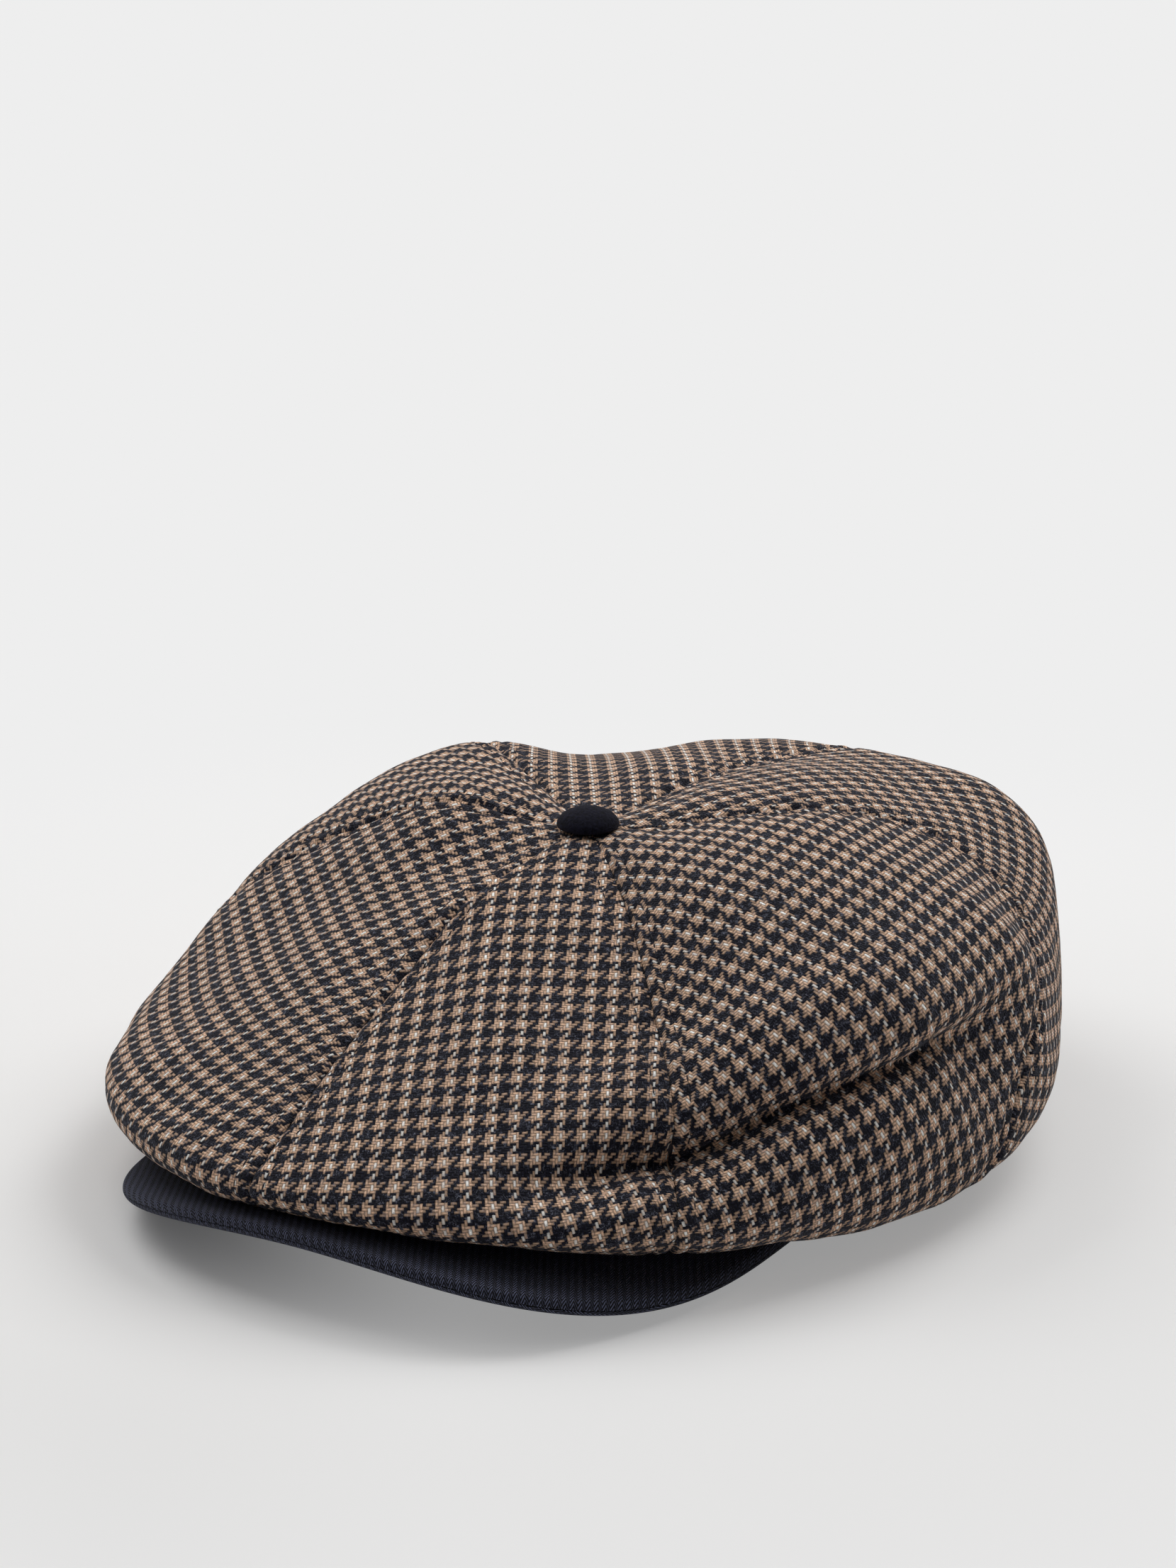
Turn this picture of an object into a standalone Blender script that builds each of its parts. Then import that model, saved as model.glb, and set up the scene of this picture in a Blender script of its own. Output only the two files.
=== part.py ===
"""Newsboy cap: a six-gore crown with its lining, a sweatband, a stiff brim, a covered button and a press fastener.

The front is -Y, the wearer's left is +X and +Z is up. The cap stands on its sweatband at Z = 0.
Sizes are in millimetres about the button's axis, and mesh_object turns them into metres in the part's frame.
"""

import math

import bmesh
import bpy
import numpy as np

MM = 0.001
BUTTON_AXIS_X = -2.04  # from the middle of the cap's width
BUTTON_AXIS_Y = -1.90  # from the middle of the cap's length, brim included
STITCH_GAP = 0.3  # left between pieces that are sewn together

# Crown outline: (front, side, back) values around the cap
RIM_RADIUS = (147.2, 129.4, 154.3)
RIM_HEIGHT = (31.0, 32.2, 60.5)
TOP_FULLNESS = (1.13, 2.54, 2.64)  # 1 is a straight slope, 2 an ellipse, more is boxy
FULLNESS_SPREAD = 0.48  # how far the front's and the back's fullness reach round to the sides
TUCK_FULLNESS = (3.2, 3.4, 3.1)
HEM_RADIUS = (104.0, 92.0, 104.0)
CROWN_HEIGHT = 96.0
HOLLOW_DEPTH = 3.4
HOLLOW_RADIUS = 35.0
BUTTON_SEAT_RADIUS = 18.0  # the crown lies nearly level under the button out to about half of this
HEM_SIDE_HEIGHT = 8.2
HEM_FRONT_RISE = 15.3
HEM_BACK_DROP = 4.0
BEND_LENGTH = 14.0  # cloth turns no tighter corner than one spread over this length
ARC_SAMPLES = 241
PROFILE_SAMPLES = 361
CROWN_TWIST = math.radians(9.8)  # of the crown on its hem; its angles are from its own front seam

# How the soft crown lies: angle in degrees, distance from the button, half sizes of both, lift
SLOUCH = (
    (-143, 100, 16, 62, -6.6),
    (-117, 98, 14, 34, 7.0),
    (-100, 120, 16, 30, -2.0),
    (-139, 60, 30, 30, 1.2),
    (176, 128, 20, 28, 3.7),
    (157, 142, 10, 22, 4.5),
    (150, 110, 16, 22, -0.9),
    (132, 146, 16, 28, -3.9),
    (133, 66, 30, 38, 4.9),
    (108, 172, 22, 18, 2.0),
    (88, 184, 32, 15, 3.9),
    (45, 176, 22, 14, 4.5),
    (10, 176, 22, 14, 0.9),
    (-4, 168, 24, 8, 2.4),
    (-22, 178, 20, 12, 1.2),
    (-36, 171, 18, 12, 5.9),
    (-45, 140, 10, 12, 1.9),
    (-64, 124, 13, 24, 2.5),
    (-72, 45, 26, 22, 5.0),
    (-6, 42, 15, 20, 4.0),
)
# A long roll on the wearer's left, over a crease that runs at these distances from the button
ROLL_ANGLES = (25, 38, 47, 67, 92, 115)
ROLL_PLACES = (150, 134, 126, 123, 130, 140)
ROLL_START, ROLL_START_EASE = 24, 30
ROLL_END, ROLL_END_EASE = 118, 28
CREASE_DEPTH, CREASE_WIDTH = 9.0, 7.5
ROLL_SWELL, ROLL_SWELL_ABOVE, ROLL_SWELL_WIDTH = 4.0, 17.0, 12.0
ROLL_OVERHANG, OVERHANG_ABOVE, OVERHANG_WIDTH = 5.0, 9.0, 9.0

# Gores and lining
GORES = 6
GORE_COLUMNS = 8
GORE_ROWS = 22
ROWS_CLOSEST_AT = 0.6  # share of the way from the button to the hem, near the rim and the crease
ROWS_CLOSE_OVER = 0.2
ROWS_CLOSER = 1.2
GORE_SWELL = 3.6
GORE_SWELL_EASE = 1.2
SEAM_SINK = 2.2
SWELL_REACH = 165.0  # from the button
SWELL_EASE = 0.7
# Seams wander from their even spacing: degrees at these shares of the way from the button to the hem
DRIFT_SHARES = (0.1, 0.35, 0.55, 0.75, 1.0)
SEAM_DRIFTS = (
    (-11, -4, 0, 3, 3),
    (-4, -6, -7, -9, -9),
    (14, 22, 10, -18, -26),
    (6, 6, 0, -8, -10),
    (0, 0, 0, 0, 0),
    (-17, -17, -13, -6, 0),
)
DRIFT_EASE = (-0.1, -0.05, 0, 0.05, 0.1)
CLOTH = 1.5
LINING_GAP = 0.5
LINING = 0.8
APEX_HOLE = 2.5

# Bands in the head opening
SWEATBAND = 1.6
SWEATBAND_WIDTH = 28.0
SWEATBAND_FLAT_FROM = 0.25  # cosine of the angle from the front beyond which its edge lies flat
SWEATBAND_FRONT_RISE = 14.0
STAY = 0.8
STAY_WIDTH = 14.0
STAY_LIFT = 1.6  # over the lining at the hem
BAND_GAP = 0.5

# Brim
BRIM_END_ANGLE = math.radians(66)
BRIM_SECTIONS = 30
ANGLE_STEP = 0.001
DEPTH_TOLERANCE = 1e-6
BRIM_STEPS = 5  # across its width, so that the twisted faces of board and covers stay parallel
BRIM_CENTRE_Y = -50.4
BRIM_HALF_WIDTH = 93.3
BRIM_REACH = 99.6
BRIM_FULLNESS = 2.84  # of its edge in plan, where 2 is an ellipse
BRIM_EDGE_HEIGHT = 20.8
BRIM_EDGE_DROP = 17.3  # from the middle of the front edge to its widest point
BRIM_SEAM = 5.4  # between the crown's hem and the brim's top
BRIM_BOARD = 1.6
BRIM_COVER = 1.0
BRIM_COVER_GAP = 0.35
BRIM_LIP_GAP = 0.3
BRIM_EDGE_ROUND = 0.3

# Button and press fastener
ROUND_SEGMENTS = 28
BUTTON_RADIUS = 9.15
BUTTON_HEIGHT = 5.6
BUTTON_LIFT = 0.9  # of its edge over the crown's apex
BUTTON_COVER = 0.9
BUTTON_SHELL = 0.5
BUTTON_BACK = 0.8
DOME_RINGS = 7
DOME_FULLNESS = 0.8
DOME_EYE = 0.5  # radius of the small opening that keeps a turned outline off its axis
SHANK_RADIUS = 1.2
SHANK_LENGTH = 7.0
WASHER_RADIUS = 6.0
WASHER = 1.0
WASHER_GAP = 1.0  # under the lining, which falls a little towards its seams
SNAP_REACH = 119.0
SNAP_RADIUS = 5.0
SNAP_BASE = 0.5
SNAP_SOCKET = 0.9
SNAP_POST_RADIUS = 1.5
SNAP_BORE_RADIUS = 1.9


def around(front_side_back, angle):
    """A value that runs smoothly from the front round each side to the back."""
    front, side, back = front_side_back
    second = ((front + back) / 2 - side) / 2
    return side + second + (front - back) / 2 * math.cos(angle) + second * math.cos(2 * angle)


def hem_height(angle):
    forward = math.cos(angle)
    rise = HEM_FRONT_RISE if forward > 0 else -HEM_BACK_DROP
    return HEM_SIDE_HEIGHT + rise * forward**2


def plan(radius, angle, height):
    return (radius * math.sin(angle), -radius * math.cos(angle), height)


def crown_profile(angle):
    """Points from the apex over the rim and in to the hem, as radius and height."""
    rim, rim_height = around(RIM_RADIUS, angle), around(RIM_HEIGHT, angle)
    hem, low = around(HEM_RADIUS, angle - CROWN_TWIST), hem_height(angle - CROWN_TWIST)
    turn = np.linspace(0, math.pi / 2, ARC_SAMPLES)
    top = 2 / around(TOP_FULLNESS, angle - FULLNESS_SPREAD * math.sin(2 * angle))
    radius = rim * np.sin(turn) ** top
    height = rim_height + (CROWN_HEIGHT - rim_height) * np.cos(turn) ** top
    height = height - HOLLOW_DEPTH * np.exp(-((radius / HOLLOW_RADIUS) ** 2))
    apex = CROWN_HEIGHT - HOLLOW_DEPTH
    height = apex + (height - apex) * (1 - np.exp(-((radius / BUTTON_SEAT_RADIUS) ** 2)))
    tuck = 2 / around(TUCK_FULLNESS, angle)
    under_radius = hem + (rim - hem) * np.cos(turn) ** tuck
    under_height = rim_height - (rim_height - low) * np.sin(turn) ** tuck
    line = np.column_stack(
        [np.append(radius, under_radius[1:]), np.append(height, under_height[1:])]
    )
    return line[np.argmax(line[:, 0] > APEX_HOLE) :]


def lengths(line):
    return np.append(0, np.cumsum(np.linalg.norm(np.diff(line, axis=0), axis=1)))


def respaced(line, measure, count):
    places = np.linspace(0, measure[-1], count)
    return np.column_stack([np.interp(places, measure, line[:, k]) for k in (0, 1)])


def softened(line):
    """The profile as cloth takes it: corners spread over BEND_LENGTH, both ends left in place."""
    along = lengths(line)
    line = respaced(line, along, PROFILE_SAMPLES)
    reach = int(BEND_LENGTH / 2 / (along[-1] / (PROFILE_SAMPLES - 1)))
    ends = np.vstack(
        [2 * line[0] - line[reach:0:-1], line, 2 * line[-1] - line[-2 : -reach - 2 : -1]]
    )
    window = np.hanning(2 * reach + 3)[1:-1]
    window /= window.sum()
    return np.column_stack([np.convolve(ends[:, k], window, "valid") for k in (0, 1)])


def inward(line):
    along = np.gradient(line, axis=0)
    along /= np.linalg.norm(along, axis=1)[:, None]
    return np.column_stack([along[:, 1], -along[:, 0]])


def smooth(share):
    share = np.clip(share, 0, 1)
    return share * share * (3 - 2 * share)


def bump(distance, width):
    return np.exp(-((distance / width) ** 2))


def half_turn(degrees):
    return (degrees + 180) % 360 - 180


def slouched(degrees, across):
    """One meridian as the cloth lies, at a share of the way over its gore: its points and inward normals."""
    line = softened(crown_profile(math.radians(degrees)))
    facing, along = inward(line), lengths(line)
    full = np.sin(math.pi * np.minimum(along / SWELL_REACH, 1)) ** SWELL_EASE
    lift = full * (GORE_SWELL * math.sin(math.pi * across) ** GORE_SWELL_EASE - SEAM_SINK)
    for angle, place, half_angle, half_length, amount in SLOUCH:
        lift += amount * bump(half_turn(degrees - angle), half_angle) * bump(along - place, half_length)
    side = half_turn(degrees)
    amount = smooth((side - ROLL_START) / ROLL_START_EASE) * smooth((ROLL_END - side) / ROLL_END_EASE)
    past = along - np.interp(side, ROLL_ANGLES, ROLL_PLACES)
    swell = ROLL_SWELL * bump(past + ROLL_SWELL_ABOVE, ROLL_SWELL_WIDTH)
    lift += amount * (swell - CREASE_DEPTH * bump(past, CREASE_WIDTH))
    slide = amount * ROLL_OVERHANG * bump(past + OVERHANG_ABOVE, OVERHANG_WIDTH)
    downward = np.column_stack([-facing[:, 1], facing[:, 0]])
    line = line - facing * lift[:, None] + downward * slide[:, None]
    return line, inward(line)


def seam_degrees(seam, share):
    drifts = SEAM_DRIFTS[seam % GORES]
    drift = sum(np.interp(share + ease, DRIFT_SHARES, drifts) for ease in DRIFT_EASE) / len(DRIFT_EASE)
    return seam * 360 / GORES + drift


def row_shares():
    """Shares of the way from the button to the hem, closer together near the rim and the crease."""
    share = np.linspace(0, 1, PROFILE_SAMPLES)
    close = np.cumsum(1 + ROWS_CLOSER * bump(share - ROWS_CLOSEST_AT, ROWS_CLOSE_OVER))
    places = np.linspace(close[0], close[-1], GORE_ROWS + 1)
    return np.interp(places, close, share)


def gore_grid(gore):
    """One gore's grid of places on the crown's outside: plan angle, radius and height, and the inward normal."""
    sample = np.linspace(0, 1, PROFILE_SAMPLES)
    columns = []
    for column in range(GORE_COLUMNS + 1):
        across = column / GORE_COLUMNS
        edge = (column == 0) - (column == GORE_COLUMNS)
        places = []
        for share in row_shares():
            low, high = seam_degrees(gore, share), seam_degrees(gore + 1, share)
            degrees = low + (high - low) * across
            line, facing = slouched(degrees, across)
            point = np.array([np.interp(share, sample, line[:, k]) for k in (0, 1)])
            normal = np.array([np.interp(share, sample, facing[:, k]) for k in (0, 1)])
            angle = math.radians(degrees) - CROWN_TWIST
            places.append((angle, edge, point, normal / np.linalg.norm(normal)))
        columns.append(places)
    return columns


def gore_surface(grid, inset):
    """The grid's points, inset from the crown's outside, a stitch gap short of both seams."""
    columns = []
    for places in grid:
        points = []
        for angle, edge, point, normal in places:
            radius, height = point + normal * inset
            points.append(plan(radius, angle + edge * math.asin(STITCH_GAP / 2 / radius), height))
        columns.append(points)
    return columns


def mesh_object(name, points, faces, look, joint=None):
    """A named object with its own material, under the joint's empty where it moves."""
    offset = np.array([BUTTON_AXIS_X, BUTTON_AXIS_Y, 0])
    places = (np.array(points) + offset) * MM
    if joint:
        places -= np.array(joint.location)
    mesh = bpy.data.meshes.new(name)
    mesh.from_pydata(places.tolist(), [], faces)
    shape = bmesh.new()
    shape.from_mesh(mesh)
    bmesh.ops.recalc_face_normals(shape, faces=shape.faces)
    shape.to_mesh(mesh)
    shape.free()
    obj = bpy.data.objects.new(name, mesh)
    bpy.context.scene.collection.objects.link(obj)
    obj.parent = joint
    mesh.materials.append(material(name, *look))
    return obj


def material(name, colour, roughness, metallic):
    made = bpy.data.materials.new(name)
    made.use_nodes = True
    shader = made.node_tree.nodes["Principled BSDF"]
    shader.inputs["Base Color"].default_value = (*(linear(part) for part in colour), 1)
    shader.inputs["Roughness"].default_value = roughness
    shader.inputs["Metallic"].default_value = metallic
    return made


def linear(byte):
    part = byte / 255
    return part / 12.92 if part <= 0.04045 else ((part + 0.055) / 1.055) ** 2.4


def panel(name, grid, outside, thickness, look):
    """A closed panel between two insets of the crown's surface."""
    surfaces = [gore_surface(grid, outside), gore_surface(grid, outside + thickness)]
    points = [point for surface in surfaces for column in surface for point in column]
    rows = GORE_ROWS + 1
    inner = rows * (GORE_COLUMNS + 1)
    faces = []
    for column in range(GORE_COLUMNS):
        for row in range(GORE_ROWS):
            a = column * rows + row
            b = a + rows
            faces.append((a, a + 1, b + 1, b))
            faces.append((inner + a, inner + b, inner + b + 1, inner + a + 1))
    border = [column * rows for column in range(GORE_COLUMNS + 1)]
    border += [GORE_COLUMNS * rows + row for row in range(1, rows)]
    border += [column * rows + GORE_ROWS for column in range(GORE_COLUMNS - 1, -1, -1)]
    border += list(range(GORE_ROWS - 1, 0, -1))
    for a, b in zip(border, border[1:] + border[:1]):
        faces.append((a, b, inner + b, inner + a))
    return mesh_object(name, points, faces, look)


def swept(name, sections, look, joint=None, closed=False):
    """A solid through sections of one closed outline each, capped at its ends unless it closes on itself."""
    size, count = len(sections[0]), len(sections)
    points = [point for section in sections for point in section]
    faces = []
    for k in range(count if closed else count - 1):
        here, there = k * size, (k + 1) % count * size
        for side in range(size):
            after = (side + 1) % size
            faces.append((here + side, there + side, there + after, here + after))
    if not closed:
        faces.append(tuple(range(size)))
        faces.append(tuple(reversed(range((count - 1) * size, count * size))))
    return mesh_object(name, points, faces, look, joint)


def band(name, outside, thickness, low, high, look):
    """A ring that follows the hem: outside is its gap inside the hem's edge, low and high its edges' heights."""
    sections = []
    for k in range(GORES * GORE_COLUMNS):
        angle = k * 2 * math.pi / (GORES * GORE_COLUMNS)
        outer = around(HEM_RADIUS, angle) - outside
        inner = outer - thickness
        edges = ((inner, low), (inner, high), (outer, high), (outer, low))
        sections.append([plan(radius, angle, height(angle)) for radius, height in edges])
    return swept(name, sections, look, closed=True)


def turned(name, outline, look, centre_y=0.0, joint=None):
    """A solid of revolution about a vertical axis through a closed outline of radius and height, kept off the axis."""
    sections = []
    for k in range(ROUND_SEGMENTS):
        angle = k * 2 * math.pi / ROUND_SEGMENTS
        sections.append(
            [(radius * math.sin(angle), centre_y - radius * math.cos(angle), height) for radius, height in outline]
        )
    return swept(name, sections, look, joint, closed=True)


def turned_solid(name, outline, look, centre_y=0.0, joint=None):
    """A solid of revolution that fills its axis: the outline runs from the axis below to the axis above."""
    (_, low), *rings, (_, high) = outline
    points = [(0, centre_y, low), (0, centre_y, high)]
    faces = []
    for radius, height in rings:
        for k in range(ROUND_SEGMENTS):
            angle = k * 2 * math.pi / ROUND_SEGMENTS
            points.append((radius * math.sin(angle), centre_y - radius * math.cos(angle), height))
    last = 2 + (len(rings) - 1) * ROUND_SEGMENTS
    for k in range(ROUND_SEGMENTS):
        after = (k + 1) % ROUND_SEGMENTS
        faces.append((0, 2 + after, 2 + k))
        faces.append((1, last + k, last + after))
        for ring in range(len(rings) - 1):
            a = 2 + ring * ROUND_SEGMENTS
            b = a + ROUND_SEGMENTS
            faces.append((a + k, a + after, b + after, b + k))
    return mesh_object(name, points, faces, look, joint)


def brim_line(angle):
    """The brim's middle across its width: where it leaves the hem, where it ends, and how far that is."""
    hem = np.array(plan(around(HEM_RADIUS, angle) + STITCH_GAP, angle, 0)[:2])
    ahead = np.array(plan(around(HEM_RADIUS, angle + ANGLE_STEP), angle + ANGLE_STEP, 0)[:2])
    behind = np.array(plan(around(HEM_RADIUS, angle - ANGLE_STEP), angle - ANGLE_STEP, 0)[:2])
    along = (ahead - behind) / np.linalg.norm(ahead - behind)
    out = np.array([along[1], -along[0]])
    near, far = 0.0, 2 * BRIM_REACH
    while far - near > DEPTH_TOLERANCE:
        depth = (near + far) / 2
        edge = hem + out * depth
        across, forward = abs(edge[0]) / BRIM_HALF_WIDTH, abs(edge[1] - BRIM_CENTRE_Y) / BRIM_REACH
        inside = across**BRIM_FULLNESS + forward**BRIM_FULLNESS < 1
        near, far = (depth, far) if inside else (near, depth)
    half = BRIM_BOARD / 2 + BRIM_COVER_GAP + BRIM_COVER
    inner_height = hem_height(angle) - BRIM_SEAM - half
    edge_height = BRIM_EDGE_HEIGHT - BRIM_EDGE_DROP * (edge[0] / BRIM_HALF_WIDTH) ** 2
    return np.append(hem, inner_height), np.append(edge, edge_height), depth


def brim_piece(name, outline, look, joint):
    """A solid along the brim: outline(depth) gives each section as distance from the hem and height over the middle."""
    sections = []
    for k in range(BRIM_SECTIONS + 1):
        inner, edge, depth = brim_line((2 * k / BRIM_SECTIONS - 1) * BRIM_END_ANGLE)
        sections.append(
            [inner + (edge - inner) * (out / depth) + np.array([0, 0, up]) for out, up in outline(depth)]
        )
    return swept(name, sections, look, joint)


def stepped(start, end, up):
    return [(out, up) for out in np.linspace(start, end, BRIM_STEPS + 1)]


def board_outline(depth):
    edge, half = depth - BRIM_COVER - BRIM_LIP_GAP, BRIM_BOARD / 2
    return stepped(0, edge, half) + stepped(edge, 0, -half)


def cover_outline(depth, side):
    """The cover lies on the board and turns down over its edge to the middle, where the other cover meets it."""
    under = BRIM_BOARD / 2 + BRIM_COVER_GAP
    over = under + BRIM_COVER
    lip = depth - BRIM_COVER
    turn = [
        (depth - BRIM_EDGE_ROUND, over - 2 * BRIM_EDGE_ROUND),
        (depth, BRIM_COVER / 2),
        (depth, BRIM_LIP_GAP / 2),
        (lip, BRIM_LIP_GAP / 2),
    ]
    outline = stepped(0, lip - BRIM_EDGE_ROUND, over) + turn + stepped(lip, 0, under)
    return [(out, up * side) for out, up in outline]


def dome(radius, low, height):
    """Radius and height of a flattened dome from its edge to near its top."""
    turns = np.arange(DOME_RINGS) / DOME_RINGS * math.pi / 2
    return [(radius * math.cos(turn) ** DOME_FULLNESS, low + height * math.sin(turn)) for turn in turns]


for obj in list(bpy.data.objects):
    bpy.data.objects.remove(obj, do_unlink=True)

# Colours are from the photograph; those of hidden pieces are guesses.
HOUNDSTOOTH = ((104, 92, 88), 0.95, 0.0)
NAVY_HERRINGBONE = ((25, 25, 33), 0.9, 0.0)
NAVY_FELT = ((36, 36, 45), 0.95, 0.0)
SATIN = ((31, 31, 40), 0.4, 0.0)
BAND_COTTON = ((27, 27, 31), 0.8, 0.0)
STAY_TAPE = ((196, 190, 178), 0.8, 0.0)
BOARD = ((62, 60, 58), 0.6, 0.0)
STEEL = ((150, 150, 150), 0.35, 1.0)
BLACKED_METAL = ((34, 34, 36), 0.4, 1.0)

# Crown and lining
PANEL_NAMES = ("front_left", "left", "back_left", "back_right", "right", "front_right")
for gore, place in enumerate(PANEL_NAMES):
    grid = gore_grid(gore)
    panel("crown_panel_" + place, grid, 0.0, CLOTH, HOUNDSTOOTH)
    panel("lining_panel_" + place, grid, CLOTH + LINING_GAP, LINING, SATIN)


# Bands inside the head opening
def sweatband_edge(angle):
    forward = max(0, math.cos(angle) - SWEATBAND_FLAT_FROM) / (1 - SWEATBAND_FLAT_FROM)
    return SWEATBAND_FRONT_RISE * forward**2


def sweatband_top(angle):
    return sweatband_edge(angle) + SWEATBAND_WIDTH


def stay_edge(angle):
    return hem_height(angle) + CLOTH + LINING_GAP + LINING + STAY_LIFT


def stay_top(angle):
    return stay_edge(angle) + STAY_WIDTH


band("sweatband", BAND_GAP, SWEATBAND, sweatband_edge, sweatband_top, BAND_COTTON)
band("headband_stay", -STAY, STAY, stay_edge, stay_top, STAY_TAPE)

# Brim, turning about a line through its sewn ends
hinge_place, _, _ = brim_line(BRIM_END_ANGLE)
brim_hinge = bpy.data.objects.new("brim_hinge", None)
brim_hinge.location = (BUTTON_AXIS_X * MM, (hinge_place[1] + BUTTON_AXIS_Y) * MM, hinge_place[2] * MM)
bpy.context.scene.collection.objects.link(brim_hinge)
brim_piece("brim_board", board_outline, BOARD, brim_hinge)
brim_piece("brim_top_cover", lambda depth: cover_outline(depth, 1), NAVY_HERRINGBONE, brim_hinge)
brim_piece("brim_under_cover", lambda depth: cover_outline(depth, -1), NAVY_HERRINGBONE, brim_hinge)

# Covered button, its shank through the apex and the washer inside
button_low = CROWN_HEIGHT - HOLLOW_DEPTH + BUTTON_LIFT
shell_low = button_low + STITCH_GAP
shell_radius = BUTTON_RADIUS - BUTTON_COVER - STITCH_GAP
shell_height = BUTTON_HEIGHT - BUTTON_COVER - 2 * STITCH_GAP


def dome_shell(radius, low, height, thickness):
    outside = dome(radius, low, height) + [(DOME_EYE, low + height)]
    inside = dome(radius - thickness, low, height - thickness) + [(DOME_EYE, low + height - thickness)]
    return outside + inside[::-1]


turned("button_cover", dome_shell(BUTTON_RADIUS, button_low, BUTTON_HEIGHT, BUTTON_COVER), NAVY_FELT)
turned("button_shell", dome_shell(shell_radius, shell_low, shell_height, BUTTON_SHELL), STEEL)
back_radius = shell_radius - BUTTON_SHELL - STITCH_GAP
turned_solid(
    "button_back",
    [
        (0, shell_low - SHANK_LENGTH),
        (SHANK_RADIUS, shell_low - SHANK_LENGTH),
        (SHANK_RADIUS, shell_low),
        (back_radius, shell_low),
        (back_radius, shell_low + BUTTON_BACK),
        (0, shell_low + BUTTON_BACK),
    ],
    STEEL,
)
washer_top = CROWN_HEIGHT - HOLLOW_DEPTH - CLOTH - LINING_GAP - LINING - WASHER_GAP
washer_bore = SHANK_RADIUS + STITCH_GAP
turned(
    "button_washer",
    [
        (WASHER_RADIUS, washer_top - WASHER),
        (WASHER_RADIUS, washer_top),
        (washer_bore, washer_top),
        (washer_bore, washer_top - WASHER),
    ],
    STEEL,
)

# Press fastener between the brim's top and the underside of the crown's front
inner, edge, depth = brim_line(0)
brim_top = inner + (edge - inner) * ((SNAP_REACH + inner[1]) / depth)
stud_low = brim_top[2] + BRIM_BOARD / 2 + BRIM_COVER_GAP + BRIM_COVER + 2 * STITCH_GAP
socket_low = stud_low + SNAP_BASE + STITCH_GAP
turned_solid(
    "snap_stud",
    [
        (0, stud_low),
        (SNAP_RADIUS, stud_low),
        (SNAP_RADIUS, stud_low + SNAP_BASE),
        (SNAP_POST_RADIUS, stud_low + SNAP_BASE),
        (SNAP_POST_RADIUS, socket_low + SNAP_SOCKET - STITCH_GAP),
        (0, socket_low + SNAP_SOCKET - STITCH_GAP),
    ],
    BLACKED_METAL,
    -SNAP_REACH,
    brim_hinge,
)
turned(
    "snap_socket",
    [
        (SNAP_RADIUS, socket_low),
        (SNAP_RADIUS, socket_low + SNAP_SOCKET),
        (SNAP_BORE_RADIUS, socket_low + SNAP_SOCKET),
        (SNAP_BORE_RADIUS, socket_low),
    ],
    BLACKED_METAL,
    -SNAP_REACH,
)
bpy.context.view_layer.update()
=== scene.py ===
import math

import bpy
import numpy as np
from mathutils import Matrix, Vector, noise


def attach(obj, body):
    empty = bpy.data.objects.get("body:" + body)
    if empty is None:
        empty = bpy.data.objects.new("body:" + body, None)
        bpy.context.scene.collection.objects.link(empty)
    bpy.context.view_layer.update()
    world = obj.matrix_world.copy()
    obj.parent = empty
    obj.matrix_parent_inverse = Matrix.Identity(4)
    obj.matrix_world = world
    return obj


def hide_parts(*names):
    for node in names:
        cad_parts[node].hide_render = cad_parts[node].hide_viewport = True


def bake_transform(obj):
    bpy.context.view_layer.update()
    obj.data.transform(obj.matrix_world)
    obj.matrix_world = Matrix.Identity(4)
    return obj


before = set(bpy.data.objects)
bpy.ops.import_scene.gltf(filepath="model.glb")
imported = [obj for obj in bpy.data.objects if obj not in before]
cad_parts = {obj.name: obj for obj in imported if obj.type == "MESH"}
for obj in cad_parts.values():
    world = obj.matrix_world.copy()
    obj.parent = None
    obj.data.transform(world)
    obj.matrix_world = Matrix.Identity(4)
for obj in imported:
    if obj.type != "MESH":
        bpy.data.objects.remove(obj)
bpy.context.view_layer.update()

# Crown: six gores of houndstooth wool, sewn edge to edge from the button to the hem.
# The cloth is soft and full, so it slouches: it stands highest behind the button, rolls over a long
# crease on the wearer's left and rests on the brim in front. Sizes are in millimetres about the button.
MM = 0.001
BUTTON_AXIS = np.array([-2.04, -1.90, 0.0])
CROWN_TWIST = math.radians(9.8)
RIM_RADIUS = (147.2, 129.4, 154.3)  # front, side, back
RIM_HEIGHT = (31.0, 32.2, 60.5)
TOP_FULLNESS = (1.13, 2.54, 2.64)
FULLNESS_SPREAD = 0.48
TUCK_FULLNESS = (3.2, 3.4, 3.1)
HEM_RADIUS = (104.0, 92.0, 104.0)
CROWN_HEIGHT = 96.0
HOLLOW_DEPTH = 3.4
HOLLOW_RADIUS = 35.0
BUTTON_SEAT_RADIUS = 18.0
HEM_SIDE_HEIGHT = 8.2
HEM_FRONT_RISE = 15.3
HEM_BACK_DROP = 4.0
BEND_LENGTH = 14.0
APEX_HOLE = 2.5
ARC_SAMPLES = 241
LINE_ANGLES = 720
LINE_ROWS = 361
GORES = 6
GORE_ANGLE = 360 / GORES


def around(front_side_back, angle):
    """A size that goes smoothly from front to side to back, at a plan angle from the front."""
    front, side, back = front_side_back
    second = ((front + back) / 2 - side) / 2
    return side + second + (front - back) / 2 * np.cos(angle) + second * np.cos(2 * angle)


def hem_height(angle):
    forward = np.cos(angle)
    return HEM_SIDE_HEIGHT + np.where(forward > 0, HEM_FRONT_RISE, -HEM_BACK_DROP) * forward**2


def lengths(line):
    """Length along a line up to each of its points."""
    return np.append(0, np.cumsum(np.linalg.norm(np.diff(line, axis=0), axis=1)))


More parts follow.
